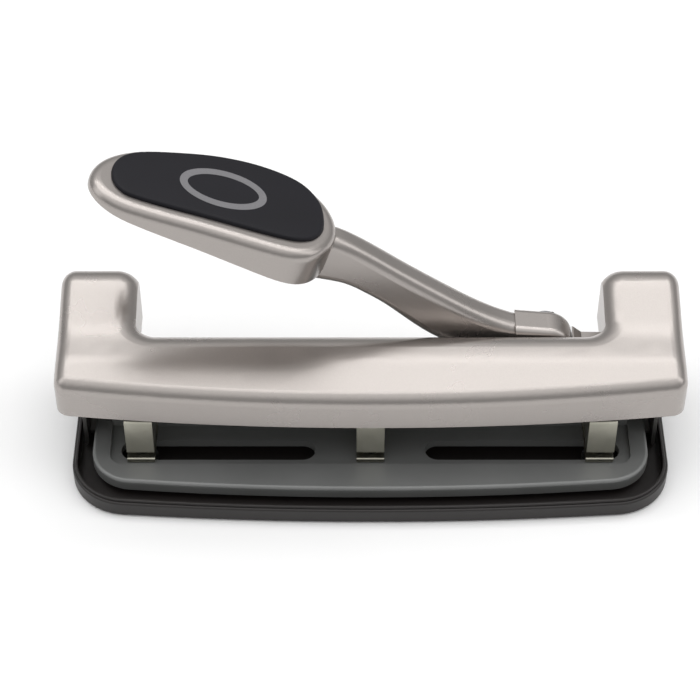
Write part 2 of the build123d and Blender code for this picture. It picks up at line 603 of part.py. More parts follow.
def make_press_bar():
    back = PRESS_WEB_Y + PRESS_WEB_SHEET
    tongue_x = END_PLATE_X + END_PLATE_SHEET + 1.5
    half = [(PRESS_WIDE_X, PRESS_FRONT_Y), (PRESS_WIDE_X, TONGUE_Y - 4), (PRESS_END_X, TONGUE_Y - 4),
            (PRESS_END_X, TONGUE_Y), (tongue_x, TONGUE_Y), (tongue_x, TONGUE_Y + TONGUE_WIDTH),
            (PRESS_END_X, TONGUE_Y + TONGUE_WIDTH), (PRESS_END_X, back)]
    plan = half + [(-x, y) for x, y in reversed(half)]
    bar = prism([(x, y, PRESS_FLANGE_Z) for x, y in plan], (0, 0, PRESS_SHEET))
    web_x = PRESS_END_X - 6
    web = block(-web_x, web_x, PRESS_WEB_Y, back, PRESS_WEB_BOTTOM_Z, PRESS_FLANGE_Z + PRESS_SHEET / 2)
    for x in FOLLOWER_XS:
        web -= rod_y(PRESS_WEB_Y - 1, back + 1, x, FOLLOWER_Z, FOLLOWER_DIAMETER)
    return bar + web


save("press_bar", make_press_bar())
save("follower_pins", *[rod_y(PRESS_WEB_Y, SLIDE_BAR_Y + SLIDE_BAR_SHEET + SLIDING_GAP, x,
                              FOLLOWER_Z, FOLLOWER_DIAMETER) for x in FOLLOWER_XS])


# ---- slide bar: rack on its right end, sloping cam slots that pull the press bar down
BAR_BOTTOM_Z = 13.5
BAR_TOP_Z = 37.0
BAR_LEFT_X = -118.0
BAR_SHOULDER_X = 57.0
BAR_RIGHT_X = 102.0
PITCH_Z = PIVOT_Z - GEAR_RADIUS
PITCH_WIDTH = math.pi * GEAR_MODULE
ADDENDUM = GEAR_MODULE
DEDENDUM = 1.25 * GEAR_MODULE
RACK_SPACES = range(-3, 3)


def rack_outline():
    """Top edge of the rack, tooth by tooth, from left to right."""
    slope = math.tan(math.radians(PRESSURE_ANGLE))
    half = (PITCH_WIDTH / 2 - BACKLASH) / 2
    points = []
    for index in RACK_SPACES:
        x = PIVOT_X + (index + 0.5) * PITCH_WIDTH
        points += [(x - half - DEDENDUM * slope, PITCH_Z - DEDENDUM),
                   (x - half + ADDENDUM * slope, PITCH_Z + ADDENDUM),
                   (x + half - ADDENDUM * slope, PITCH_Z + ADDENDUM),
                   (x + half + DEDENDUM * slope, PITCH_Z - DEDENDUM)]
    return points


def make_slide_bar():
    back = SLIDE_BAR_Y + SLIDE_BAR_SHEET
    outline = [(BAR_RIGHT_X, PITCH_Z - DEDENDUM), (BAR_RIGHT_X, BAR_BOTTOM_Z), (BAR_LEFT_X, BAR_BOTTOM_Z),
               (BAR_LEFT_X, BAR_TOP_Z), (BAR_SHOULDER_X, BAR_TOP_Z),
               (BAR_SHOULDER_X, PITCH_Z - DEDENDUM)] + rack_outline()
    bar = plate_in_xz(outline, SLIDE_BAR_Y, back)
    follower_slot = FOLLOWER_DIAMETER + 2 * RUNNING_FIT
    for x in FOLLOWER_XS:
        bar -= slot_y(x, FOLLOWER_Z, x - BAR_TRAVEL, FOLLOWER_Z - PUNCH_TRAVEL, follower_slot,
                      SLIDE_BAR_Y - 1, back + 1)
    guide_slot = GUIDE_PIN_DIAMETER + 2 * RUNNING_FIT
    for x in GUIDE_PIN_XS:
        bar -= slot_y(x, GUIDE_PIN_Z, x - BAR_TRAVEL, GUIDE_PIN_Z, guide_slot,
                      SLIDE_BAR_Y - 1, back + 1)
    return bar


save("slide_bar", make_slide_bar())


# ---- sector gear on the pivot shaft
GEAR_BORE_HUB = 9.0
SECTOR_TEETH = range(-3, 3)
FLANK_STEPS = 5
TOOTH_ANGLE = 360 / GEAR_TEETH


def involute_polar(radius, base):
    """Roll angle that an involute has turned through at a radius, in radians."""
    pressure = math.acos(base / radius)
    return math.tan(pressure) - pressure


def gear_tooth(angle):
    """One involute tooth, pointing away from the shaft at an angle from straight down."""
    base = GEAR_RADIUS * math.cos(math.radians(PRESSURE_ANGLE))
    tip = GEAR_RADIUS + ADDENDUM
    root = GEAR_RADIUS - DEDENDUM
    half = (PITCH_WIDTH / 2 - BACKLASH) / 2 / GEAR_RADIUS + involute_polar(GEAR_RADIUS, base)
    flank = []
    for step in range(FLANK_STEPS + 1):
        radius = base + (tip - base) * step / FLANK_STEPS
        flank.append((radius, half - involute_polar(radius, base)))
    side = [(root - 0.5, half)] + flank
    polar = [(r, -a) for r, a in side] + [(r, a) for r, a in reversed(side)]
    turned = [(r, a + math.radians(angle)) for r, a in polar]
    outline = [(PIVOT_X + r * math.sin(a), PIVOT_Z - r * math.cos(a)) for r, a in turned]
    return plate_in_xz(outline, SLIDE_BAR_Y, SLIDE_BAR_Y + SLIDE_BAR_SHEET)


def make_sector_gear():
    front = SLIDE_BAR_Y
    back = SLIDE_BAR_Y + SLIDE_BAR_SHEET
    root = GEAR_RADIUS - DEDENDUM
    first = math.radians((SECTOR_TEETH[0] - 0.5) * TOOTH_ANGLE)
    last = math.radians((SECTOR_TEETH[-1] + 0.5) * TOOTH_ANGLE)
    reach = root * 1.6
    wedge = plate_in_xz([(PIVOT_X, PIVOT_Z),
                         (PIVOT_X + reach * math.sin(first), PIVOT_Z - reach * math.cos(first)),
                         (PIVOT_X, PIVOT_Z - reach * 1.4),
                         (PIVOT_X + reach * math.sin(last), PIVOT_Z - reach * math.cos(last))],
                        front, back)
    gear = rod_y(front, back, PIVOT_X, PIVOT_Z, 2 * root) & wedge
    for index in SECTOR_TEETH:
        gear += gear_tooth(index * TOOTH_ANGLE)
    gear += rod_y(front, back, PIVOT_X, PIVOT_Z, 2 * GEAR_BORE_HUB)
    return gear - rod_y(front - 1, back + 1, PIVOT_X, PIVOT_Z, SHAFT_DIAMETER)


save("sector_gear", make_sector_gear())
SHAFT_FRONT_Y = SLIDE_BAR_Y
SHAFT_BACK_Y = LUG_Y + LUG_SHEET + 3.0
E_CLIP_DIAMETER = 13.0
save("pivot_shaft", rod_y(SHAFT_FRONT_Y, SHAFT_BACK_Y, PIVOT_X, PIVOT_Z, SHAFT_DIAMETER))


def make_shaft_clip():
    front = LUG_Y + LUG_SHEET + SLIDING_GAP
    clip = rod_y(front, front + CLIP_SHEET, PIVOT_X, PIVOT_Z, E_CLIP_DIAMETER)
    return clip - rod_y(front, front + CLIP_SHEET, PIVOT_X, PIVOT_Z, SHAFT_DIAMETER)


save("shaft_clip", make_shaft_clip())


# ---- lever: steel core, moulded arm with a wide palm rest, soft pad on top
CORE_FRONT_Y = 19.0
CORE_SHEET = 4.0
CORE_HEIGHT = 9.0
CORE_EYE_DIAMETER = 17.0
COLLAR_LEFT_X = 68.0
COLLAR_GROWTH = 0.9             # how far the collar stands out from the arm
ARM_EDGE = 5.0
ARM_TOP = [(COLLAR_LEFT_X, 61.6), (51.0, 70.0), (37.0, 79.4), (13.5, 96.6), (-5.0, 110.6), (-17.0, 117.4),
           (-27.0, 119.6)]
ARM_BOTTOM = [(-31.0, 94.0), (-22.0, 91.6), (-12.0, 88.6), (-4.0, 83.6), (4.0, 77.6), (14.6, 67.8),
              (30.0, 54.6), (48.0, 45.6), (COLLAR_LEFT_X, 41.0)]
CORE_LINE = [(PIVOT_X, PIVOT_Z), (66.0, 51.0), (48.0, 58.0), (32.0, 68.0), (18.0, 80.0), (4.0, 91.5),
             (-10.0, 101.5), (-24.0, 109.5), (-44.0, 117.5)]

# distances along the slope from the root of the palm rest, and y; drawn from the root, by the front
REST_OUTLINE = [(4.0, 5.0), (14.0, -2.4), (30.0, -3.4), (60.0, -1.0), (88.0, 0.8), (103.0, 4.5),
                (112.0, 14.5), (110.5, 26.5), (100.0, 38.0), (75.0, 47.6), (45.0, 51.4), (19.0, 47.4),
                (4.0, 36.0), (-1.5, 20.0)]
PAD_OUTLINE = [(7.0, 13.0), (14.0, 6.6), (27.0, 4.9), (60.0, 6.6), (90.0, 8.2), (99.0, 11.2), (103.2, 18.5),
               (102.0, 29.0), (94.0, 37.2), (76.0, 43.4), (55.0, 47.9), (35.0, 48.2), (18.0, 43.8),
               (8.5, 34.5), (5.6, 23.0)]
REST_TOP = -2.0                 # level of the rim below the top of the pad
REST_DEPTH_ROOT = 22.4
REST_DEPTH_TIP = 7.8
REST_LENGTH = 112.0
REST_TOP_EDGE = 4.6
REST_WALL = 4.0
PAD_SINK = 1.5
RING_CENTRE = (53.0, 26.0)
RING_LENGTH = 40.2
RING_WIDTH = 24.0
RING_BAND = 3.6
RING_DEPTH = 0.6
UNDERSIDE_SHEET = 2.0
UNDERSIDE_GAP = 0.15
REST_SCREWS = [(30.0, 24.0), (60.0, 24.0), (88.0, 20.0)]

tilt = math.radians(PADDLE_TILT)
REST_PLANE = Plane(origin=(PADDLE_ROOT_X, 0, PADDLE_ROOT_Z), x_dir=(-math.cos(tilt), 0, math.sin(tilt)),
                   z_dir=(math.sin(tilt), 0, math.cos(tilt)))


def rest_face(outline, height):
    """Closed smooth outline on the sloping plane of the palm rest, at a height above the pad top."""
    loop = Spline(*[(along, -across) for along, across in outline], periodic=True)
    return REST_PLANE.offset(height) * make_face(loop)


def rest_block(outline, low, high):
    """Straight block on the sloping plane."""
    return extrude(rest_face(outline, low), amount=high - low)


def shrink(outline, amount):
    """Outline moved inwards by an amount, point by point, towards its own middle."""
    count = len(outline)
    moved = []
    for index, (along, across) in enumerate(outline):
        before = outline[index - 1]
        after = outline[(index + 1) % count]
        run = Vector(after[0] - before[0], after[1] - before[1], 0).normalized()
        moved.append((along - run.Y * amount, across + run.X * amount))
    return moved


def under_wedge(lift):
    """Everything below the sloping underside of the palm rest, moved up by a lift."""
    rise = (REST_DEPTH_ROOT - REST_DEPTH_TIP) / REST_LENGTH
    margin = 40.0
    level = [(along, rise * along - REST_DEPTH_ROOT + lift) for along in (-margin, REST_LENGTH + margin)]
    points = level + [(REST_LENGTH + margin, -3 * REST_DEPTH_ROOT), (-margin, -3 * REST_DEPTH_ROOT)]
    corners = [REST_PLANE.from_local_coords(Vector(a, 2 * margin, h)) for a, h in points]
    return prism([tuple(corner) for corner in corners], (0, 5 * margin, 0))


def rest_rod(along, across, low, high, diameter):
    """Round bar square to the sloping plane."""
    return extrude(REST_PLANE.offset(low) * Pos(along, -across) * Circle(diameter / 2), amount=high - low)


def make_core():
    steel = Plane(origin=(0, CORE_FRONT_Y, 0), x_dir=(1, 0, 0), z_dir=(0, -1, 0))
    strip = trace(Polyline(*CORE_LINE), line_width=CORE_HEIGHT)
    core = extrude(steel * strip, amount=-CORE_SHEET)
    core += rod_y(CORE_FRONT_Y, CORE_FRONT_Y + CORE_SHEET, PIVOT_X, PIVOT_Z, CORE_EYE_DIAMETER)
    return core - rod_y(CORE_FRONT_Y, CORE_FRONT_Y + CORE_SHEET, PIVOT_X, PIVOT_Z, SHAFT_DIAMETER)


def make_arm():
    top = Spline(*[(x, ARM_FRONT_Y, z) for x, z in ARM_TOP])
    bottom = Spline(*[(x, ARM_FRONT_Y, z) for x, z in ARM_BOTTOM])
    face = make_face([top, Line(top @ 1, bottom @ 0), bottom, Line(bottom @ 1, top @ 0)])
    arm = extrude(face, amount=ARM_BACK_Y - ARM_FRONT_Y, dir=(0, 1, 0))
    long_edges = [e for e in arm.edges() if e.length > 50]
    return fillet(long_edges, ARM_EDGE)


def edges_at(solid, test):
    """Edges whose middle passes a test in the local frame of the palm rest."""
    return [e for e in solid.edges() if test(REST_PLANE.to_local_coords(e.center()))]


def make_rest():
    rest = rest_block(REST_OUTLINE, -REST_DEPTH_ROOT - 5, REST_TOP) - under_wedge(0)
    return fillet(edges_at(rest, lambda p: abs(p.Z - REST_TOP) < 0.1), REST_TOP_EDGE)


core = make_core()
rest = make_rest()
pad_seat = rest_block(PAD_OUTLINE, REST_TOP - PAD_SINK, 1)
inner = shrink(REST_OUTLINE, REST_WALL)
hollow = rest_block(inner, -REST_DEPTH_ROOT - 5, REST_TOP - PAD_SINK - 2) - under_wedge(0)


def make_rest_cap():
    """Flat lid that closes the hollow palm rest from below."""
    lid = rest_block(shrink(REST_OUTLINE, REST_WALL + UNDERSIDE_GAP), -REST_DEPTH_ROOT - 5, REST_TOP - 8)
    lid = (lid & under_wedge(UNDERSIDE_SHEET)) - under_wedge(0)
    for along, across in REST_SCREWS:
        lid -= rest_rod(along, across, -REST_DEPTH_ROOT - 5, 0, SCREW_DIAMETER)
    return lid - core


def make_rest_screw(along, across):
    """Screw up through the lid into a boss of the shell, head outside."""
    rise = (REST_DEPTH_ROOT - REST_DEPTH_TIP) / REST_LENGTH
    seat = rise * (along - 3.0) - REST_DEPTH_ROOT
    head = rest_rod(along, across, seat - SCREW_HEAD_HEIGHT, seat + 0.4, SCREW_HEAD_DIAMETER) & under_wedge(0)
    return head + rest_rod(along, across, seat, REST_TOP - PAD_SINK - 3.5, SCREW_DIAMETER)


def make_handle_shell():
    shell = rest + make_arm()
    shell -= hollow
    bosses = Part()
    for along, across in REST_SCREWS:
        bosses += rest_rod(along, across, -REST_DEPTH_ROOT, REST_TOP - PAD_SINK - 1.5, SCREW_DIAMETER + 4)
    shell += bosses - under_wedge(UNDERSIDE_SHEET)
    for along, across in REST_SCREWS:
        shell -= rest_rod(along, across, -REST_DEPTH_ROOT - 5, REST_TOP - PAD_SINK - 3.5, SCREW_DIAMETER)
    return shell - pad_seat - core


def make_grip_pad():
    pad = rest_block(PAD_OUTLINE, REST_TOP - PAD_SINK, 0)
    pad = fillet(edges_at(pad, lambda p: abs(p.Z) < 0.1), 1.0)
    return pad - make_pad_ring()


def make_pad_ring():
    along, across = RING_CENTRE
    outer = Ellipse(RING_LENGTH / 2, RING_WIDTH / 2)
    inside = Ellipse(RING_LENGTH / 2 - RING_BAND, RING_WIDTH / 2 - RING_BAND)
    return extrude(REST_PLANE.offset(-RING_DEPTH) * Pos(along, -across) * (outer - inside),
                   amount=RING_DEPTH)


def make_root_collar():
    """Hub round the shaft and a sleeve that the arm plugs against."""
    y0 = ARM_FRONT_Y - COLLAR_GROWTH
    y1 = ARM_BACK_Y + COLLAR_GROWTH
    hub = rod_y(y0, y1, PIVOT_X, PIVOT_Z, 2 * HUB_RADIUS)
    top = PIVOT_Z + HUB_RADIUS
    sleeve = plate_in_xz([(COLLAR_LEFT_X, top + 1.6), (PIVOT_X, top), (PIVOT_X, PIVOT_Z - HUB_RADIUS),
                          (COLLAR_LEFT_X, PIVOT_Z - HUB_RADIUS + 4.6)], y0, y1)
    collar = hub + sleeve
    outline_edges = [e for e in collar.edges()
                     if abs(e.center().Y - y0) < 0.01 or abs(e.center().Y - y1) < 0.01]
    outline_edges = [e for e in outline_edges if abs(e.center().X - COLLAR_LEFT_X) > 0.01]
    collar = fillet(outline_edges, ARM_EDGE - 1.5)
    return collar - rod_y(y0 - 1, y1 + 1, PIVOT_X, PIVOT_Z, SHAFT_DIAMETER) - core


save("lever_core", core)
save("root_collar", make_root_collar())
save("handle_shell", make_handle_shell())
save("handle_underside", make_rest_cap())
save("handle_screws", *[make_rest_screw(along, across) for along, across in REST_SCREWS])
save("pad_ring", make_pad_ring())
save("grip_pad", make_grip_pad())


# ---- fixed fairing between the hub and the right tower
FAIRING_FRONT_Y = ARM_FRONT_Y + 1.0
FAIRING_BACK_Y = ARM_BACK_Y - 1.0


def make_fairing():
    left = PIVOT_X + HUB_RADIUS - 4
    outline = [(left, PIVOT_Z + 3.5), (left + 5, PIVOT_Z + 2.5), (left + 9, PIVOT_Z - 1.0),
               (TOWER_INNER_X, PIVOT_Z - 1.3), (TOWER_INNER_X, PIVOT_Z - 8.0), (left, PIVOT_Z - 8.0)]
    fairing = plate_in_xz(outline, FAIRING_FRONT_Y, FAIRING_BACK_Y)
    fairing = fillet(fairing.edges().filter_by(Axis.Y).group_by(Axis.Z)[-1], 2.0)
    fairing -= rod_y(0, ARM_BACK_Y + 5, PIVOT_X, PIVOT_Z, 2 * (HUB_RADIUS + LOOSE_GAP))
    return fairing - cover_body(0)


save("hinge_fairing", make_fairing())
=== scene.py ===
# %% [markdown]
# # A desktop three-hole punch
# A long satin-silver cover bridges a row of three punch heads. A lever with a wide padded palm
# rest is hinged behind the cover, and everything stands on a dark base plate over a black pan
# that catches the paper chips. The solid parts arrive as a fixed frame: they stay where they
# are. This notebook gives them their finishes, and remakes three of the softer pieces, the
# feet, the palm pad and the ring in it, with the rounded rims that rubber and plastic have.

# %% Load the frame
import bpy
import math
from mathutils import Euler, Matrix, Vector


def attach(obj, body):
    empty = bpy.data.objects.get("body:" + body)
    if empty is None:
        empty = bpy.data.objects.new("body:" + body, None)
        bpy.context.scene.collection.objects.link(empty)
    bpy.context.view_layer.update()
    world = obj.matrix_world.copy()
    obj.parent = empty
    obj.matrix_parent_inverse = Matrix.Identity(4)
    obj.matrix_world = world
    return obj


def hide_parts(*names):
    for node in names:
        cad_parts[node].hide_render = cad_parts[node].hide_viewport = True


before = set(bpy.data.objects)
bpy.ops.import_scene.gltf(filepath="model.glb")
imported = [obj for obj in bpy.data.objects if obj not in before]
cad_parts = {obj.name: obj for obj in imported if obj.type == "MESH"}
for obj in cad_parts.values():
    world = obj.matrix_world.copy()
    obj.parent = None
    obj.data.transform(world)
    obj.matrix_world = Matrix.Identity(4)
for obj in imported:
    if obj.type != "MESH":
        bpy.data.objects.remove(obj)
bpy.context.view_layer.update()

MM = 0.001

# %% [markdown]
# ## Camera
# The machine is seen from the front and above with a long lens, so its long edges stay nearly
# parallel. The camera stands straight in front and tips down 46 degrees. A camera could also
# be aimed with a Track To constraint, but here the tilt is a known angle, so it is set.

# %% Camera
CAMERA_TILT = math.radians(46)
CAMERA_LENS = 113.1             # millimetres, on the sensor width below
CAMERA_SENSOR = 36
CAMERA_NEAR = 50 * MM           # nothing closer than this is drawn
CAMERA_PLACE = Vector((-9.6, -707.0, 794.5)) * MM

camera = bpy.data.objects.new("camera", bpy.data.cameras.new("camera"))
camera.data.lens = CAMERA_LENS
camera.data.sensor_width = CAMERA_SENSOR
camera.data.clip_start = CAMERA_NEAR
camera.location = CAMERA_PLACE
camera.rotation_euler = Euler((math.pi / 2 - CAMERA_TILT, 0, 0))
bpy.context.scene.collection.objects.link(camera)
bpy.context.scene.camera = camera
print("camera distance", round(CAMERA_PLACE.length, 3))

# %% [markdown]
# ## Floor and light
# Office machines are shown in catalogues on a white sweep under large soft boxes. A plain pale
# floor and four area lights do the same. A wide one overhead gives the cover its broad sheen, a
# narrow one further back draws the bright line along its crest, and one on each side lights the
# ends. All of them look at the middle of the machine.

# %% Floor
FLOOR_SIZE = 8                  # metres, so that its edges stay out of the camera's view
FLOOR_GAP = 0.2 * MM            # keeps the feet and the floor from sharing a plane

bpy.ops.object.select_all(action="DESELECT")
bpy.ops.mesh.primitive_plane_add(size=FLOOR_SIZE, location=(0, 0, -FLOOR_GAP))
floor = bpy.context.object
floor.name = "floor"
print(floor.name, "height", round(floor.location.z, 4))

# %% Lights
LIGHT_TARGET = Vector((0, 0, 0.05))     # the middle of the machine


def soft_box(name, place, size, power):
    """Rectangular area light that looks at the machine; place and size in metres, power in watts."""
    lamp = bpy.data.lights.new(name, "AREA")
    lamp.shape = "RECTANGLE"
    lamp.size, lamp.size_y = size
    lamp.energy = power
    holder = bpy.data.objects.new(name, lamp)
    holder.location = place
    holder.rotation_euler = (LIGHT_TARGET - Vector(place)).to_track_quat("-Z", "Y").to_euler()
    bpy.context.scene.collection.objects.link(holder)


soft_box("overhead_box", place=(0, 0.08, 1.1), size=(1.7, 0.5), power=2.75)
soft_box("crest_strip", place=(0, 0.46, 1.05), size=(1.6, 0.09), power=1.7)
soft_box("left_box", place=(-1.1, -0.2, 0.6), size=(0.6, 0.8), power=1.2)
soft_box("right_box", place=(1.1, -0.1, 0.7), size=(0.6, 0.8), power=1.5)

# %% [markdown]
# ## Tools for materials
# Colours are picked as sRGB hex values, as a paint chart gives them, and Blender's shaders work
# in linear light, so one function converts. A second one adds a node, sets it up and links it.
# A third starts a material, and a fourth turns the size of a feature into a texture's scale.
# A Mix node has a set of sockets for each kind of data, and the colour ones go by number.

# %% Material helpers
MIX_FACTOR, MIX_FROM, MIX_TO = 0, 6, 7
MIX_RESULT = 2


def linear(code):
    """sRGB hex to linear RGBA."""
    parts = [int(code[i:i + 2], 16) / 255 for i in (1, 3, 5)]
    return [c / 12.92 if c <= 0.04045 else ((c + 0.055) / 1.055) ** 2.4 for c in parts] + [1.0]


def add_node(tree, kind, settings=None, links=None):
    """Adds a node with its settings; links maps a socket to another socket, or to a value."""
    node = tree.nodes.new(kind)
    for name, value in (settings or {}).items():
        setattr(node, name, value)
    for name, value in (links or {}).items():
        socket = node.inputs[name]
        if isinstance(value, bpy.types.NodeSocket):
            tree.links.new(value, socket)
        else:
            socket.default_value = value
    return node


def start_material(name, **shader_values):
    """New material; returns it, its tree, its Principled shader and the Object coordinates."""
    material = bpy.data.materials.new(name)
    material.use_nodes = True
    tree = material.node_tree
    shader = tree.nodes["Principled BSDF"]
    for socket, value in shader_values.items():
        shader.inputs[socket.replace("_", " ")].default_value = value
    place = add_node(tree, "ShaderNodeTexCoord").outputs["Object"]
    return material, tree, shader, place


def per_mm(size_mm):
    """Texture scale for a feature of a real size, on coordinates in metres."""
    return 1000 / size_mm


print("sRGB #808080 is", round(linear("#808080")[0], 3), "in linear light")

# %% [markdown]
# ## The room
# Behind and around the table the studio is dim, and it grows lighter towards the ceiling,
# where white walls catch the boxes. A metal surface shows this: where it turns to the back it
# goes dark. The strength of the world's white light therefore depends only on how high a sight
# line points, as the sine of its angle. The Standard view leaves the colours as they come out.

# %% Room light
ROOM_LOW = 0.3                  # up to here the room stays dim
ROOM_HIGH = 0.97                # from here on it is fully bright
ROOM_DIM = 0.42
ROOM_BRIGHT = 1.2

world = bpy.data.worlds.new("studio")
world.use_nodes = True
bpy.context.scene.world = world
bpy.context.scene.view_settings.view_transform = "Standard"
studio = world.node_tree
looking = add_node(studio, "ShaderNodeTexCoord").outputs["Generated"]
height = add_node(studio, "ShaderNodeSeparateXYZ", links={"Vector": looking}).outputs["Z"]
glow = add_node(studio, "ShaderNodeMapRange", {"interpolation_type": "SMOOTHSTEP"},
                {"Value": height, "From Min": ROOM_LOW, "From Max": ROOM_HIGH,
                 "To Min": ROOM_DIM, "To Max": ROOM_BRIGHT})
studio.nodes["Background"].inputs["Color"].default_value = (1, 1, 1, 1)
studio.links.new(glow.outputs[0], studio.nodes["Background"].inputs["Strength"])
print("room from", ROOM_DIM, "to", ROOM_BRIGHT)

# %% [markdown]
# ## Silver lacquer
# The cover and the lever are ABS mouldings sprayed with a silver lacquer: tiny aluminium flakes
# in a clear binder. It mirrors softly like metal, with a warm tint. Single flakes are far too
# small to see, so only their slight mottling is drawn, 0.4 mm across, without any bump.

# %% Silver lacquer on ABS
silver_lacquer, tree, shader, place = start_material(
    "silver_lacquer_on_abs", Metallic=0.9, Coat_Weight=0.1, Coat_Roughness=0.25)
flakes = add_node(tree, "ShaderNodeTexNoise",
                  links={"Vector": place, "Scale": per_mm(0.4), "Detail": 2.0})
clouds = add_node(tree, "ShaderNodeTexNoise",
                  links={"Vector": place, "Scale": per_mm(35), "Detail": 3.0})
tint = add_node(tree, "ShaderNodeMix", {"data_type": "RGBA"},
                {MIX_FACTOR: flakes.outputs[0],
                 MIX_FROM: linear("#A09A96"), MIX_TO: linear("#B0AAA6")})
satin = add_node(tree, "ShaderNodeMapRange",
                 links={"Value": clouds.outputs[0], "To Min": 0.25, "To Max": 0.31})
tree.links.new(tint.outputs[MIX_RESULT], shader.inputs["Base Color"])
tree.links.new(satin.outputs[0], shader.inputs["Roughness"])
print(silver_lacquer.name, len(tree.nodes), "nodes")

# %% [markdown]
# ## Black pan
# The pan is a polypropylene moulding with a fine spark-eroded texture, so that scratches and
# fingerprints don't show. It is nearly black with a brown cast, and its sheen is broad.

# %% Spark-textured polypropylene
textured_black, tree, shader, place = start_material("spark_textured_polypropylene", IOR=1.49)
grain = add_node(tree, "ShaderNodeTexNoise",
                 links={"Vector": place, "Scale": per_mm(0.5), "Detail": 4.0, "Roughness": 0.6})
tint = add_node(tree, "ShaderNodeMix", {"data_type": "RGBA"},
                {MIX_FACTOR: grain.outputs[0],
                 MIX_FROM: linear("#141110"), MIX_TO: linear("#1F1A19")})
sheen = add_node(tree, "ShaderNodeMapRange",
                 links={"Value": grain.outputs[0], "To Min": 0.36, "To Max": 0.5})
bump = add_node(tree, "ShaderNodeBump",
                links={"Height": grain.outputs[0], "Strength": 0.2, "Distance": 0.05 * MM})
tree.links.new(tint.outputs[MIX_RESULT], shader.inputs["Base Color"])
tree.links.new(sheen.outputs[0], shader.inputs["Roughness"])
tree.links.new(bump.outputs[0], shader.inputs["Normal"])
print(textured_black.name, len(tree.nodes), "nodes")

# %% [markdown]
# ## Base plate paint
# The base plate is pressed steel under a satin dark-grey stoving enamel. Such paint flows out
# before it sets and leaves a faint orange peel, a few millimetres across.

# %% Satin stoving enamel
grey_enamel, tree, shader, place = start_material("satin_grey_stoving_enamel", Metallic=0.3, IOR=1.5)
peel = add_node(tree, "ShaderNodeTexNoise", links={"Vector": place, "Scale": per_mm(3), "Detail": 2.0})
haze = add_node(tree, "ShaderNodeTexNoise", links={"Vector": place, "Scale": per_mm(40), "Detail": 4.0})
tint = add_node(tree, "ShaderNodeMix", {"data_type": "RGBA"},
                {MIX_FACTOR: haze.outputs[0],
                 MIX_FROM: linear("#6D6E6D"), MIX_TO: linear("#818281")})
satin = add_node(tree, "ShaderNodeMapRange",
                 links={"Value": haze.outputs[0], "To Min": 0.34, "To Max": 0.44})
bump = add_node(tree, "ShaderNodeBump",
                links={"Height": peel.outputs[0], "Strength": 0.12, "Distance": 0.05 * MM})
tree.links.new(tint.outputs[MIX_RESULT], shader.inputs["Base Color"])
tree.links.new(satin.outputs[0], shader.inputs["Roughness"])
tree.links.new(bump.outputs[0], shader.inputs["Normal"])
print(grey_enamel.name, len(tree.nodes), "nodes")

# %% [markdown]
# ## Sheet steel and turned steel
# The heads are bent from strip and nickel plated: bright, a little yellow, with the strip's
# rolling lines still visible. The hidden frame is the same strip, zinc plated and passivated
# dark. Pins, rods and punches are ground round bar. All are one recipe with other colours: noise
# stretched along the rolling or grinding direction gives the fine lines.

# %% Rolled and ground steel
ALONG_X = (0.02, 1, 1)          # texture scales that stretch the noise along one axis
ALONG_Z = (1, 1, 0.02)
GLOSS_SPREAD = 0.07             # how far the roughness goes to either side of its middle


def make_steel(name, dull, bright, roughness, line_mm=0.25, stretch=ALONG_X):
    """Metal whose fine lines run along the axis with the small stretch value."""
    material, tree, shader, place = start_material(name, Metallic=1.0)
    lines = add_node(tree, "ShaderNodeMapping", links={"Vector": place, "Scale": stretch})
    rolled = add_node(tree, "ShaderNodeTexNoise",
                      links={"Vector": lines.outputs[0], "Scale": per_mm(line_mm), "Detail": 3.0})
    blotch = add_node(tree, "ShaderNodeTexNoise",
                      links={"Vector": place, "Scale": per_mm(12), "Detail": 3.0})
    tint = add_node(tree, "ShaderNodeMix", {"data_type": "RGBA"},
                    {MIX_FACTOR: blotch.outputs[0],
                     MIX_FROM: linear(dull), MIX_TO: linear(bright)})
    gloss = add_node(tree, "ShaderNodeMapRange",
                     links={"Value": rolled.outputs[0],
                            "To Min": roughness - GLOSS_SPREAD, "To Max": roughness + GLOSS_SPREAD})
    bump = add_node(tree, "ShaderNodeBump",
                    links={"Height": rolled.outputs[0], "Strength": 0.15, "Distance": 0.02 * MM})
    tree.links.new(tint.outputs[MIX_RESULT], shader.inputs["Base Color"])
    tree.links.new(gloss.outputs[0], shader.inputs["Roughness"])
    tree.links.new(bump.outputs[0], shader.inputs["Normal"])
    return material


nickel_strip = make_steel("nickel_plated_strip", "#9F9D90", "#C4C2B5", 0.34, stretch=ALONG_Z)
dark_strip = make_steel("black_passivated_strip", "#383735", "#4C4B48", 0.42)
grey_strip = make_steel("zinc_plated_strip", "#6A6966", "#82817E", 0.4, stretch=ALONG_Z)
ground_bar = make_steel("ground_steel_bar", "#A4A4A2", "#BABAB8", 0.22, 0.15)
spring_wire = make_steel("drawn_spring_wire", "#88898B", "#A6A7A9", 0.28, 0.15)
zinc_screw = make_steel("zinc_plated_screw", "#76787A", "#979A9E", 0.33, 0.2)
sintered_bronze = make_steel("sintered_bronze", "#765A36", "#98784D", 0.5, 0.4)
print("metals", [m.name for m in (nickel_strip, dark_strip, grey_strip, ground_bar,
                                  spring_wire, zinc_screw, sintered_bronze)])

# %% [markdown]
# ## Palm pad and its ring
# The pad is a soft-touch elastomer moulded over a hard core: blue-black, with a fine leathery
# grain that kills the shine. The oval ring let into it is plain grey plastic.

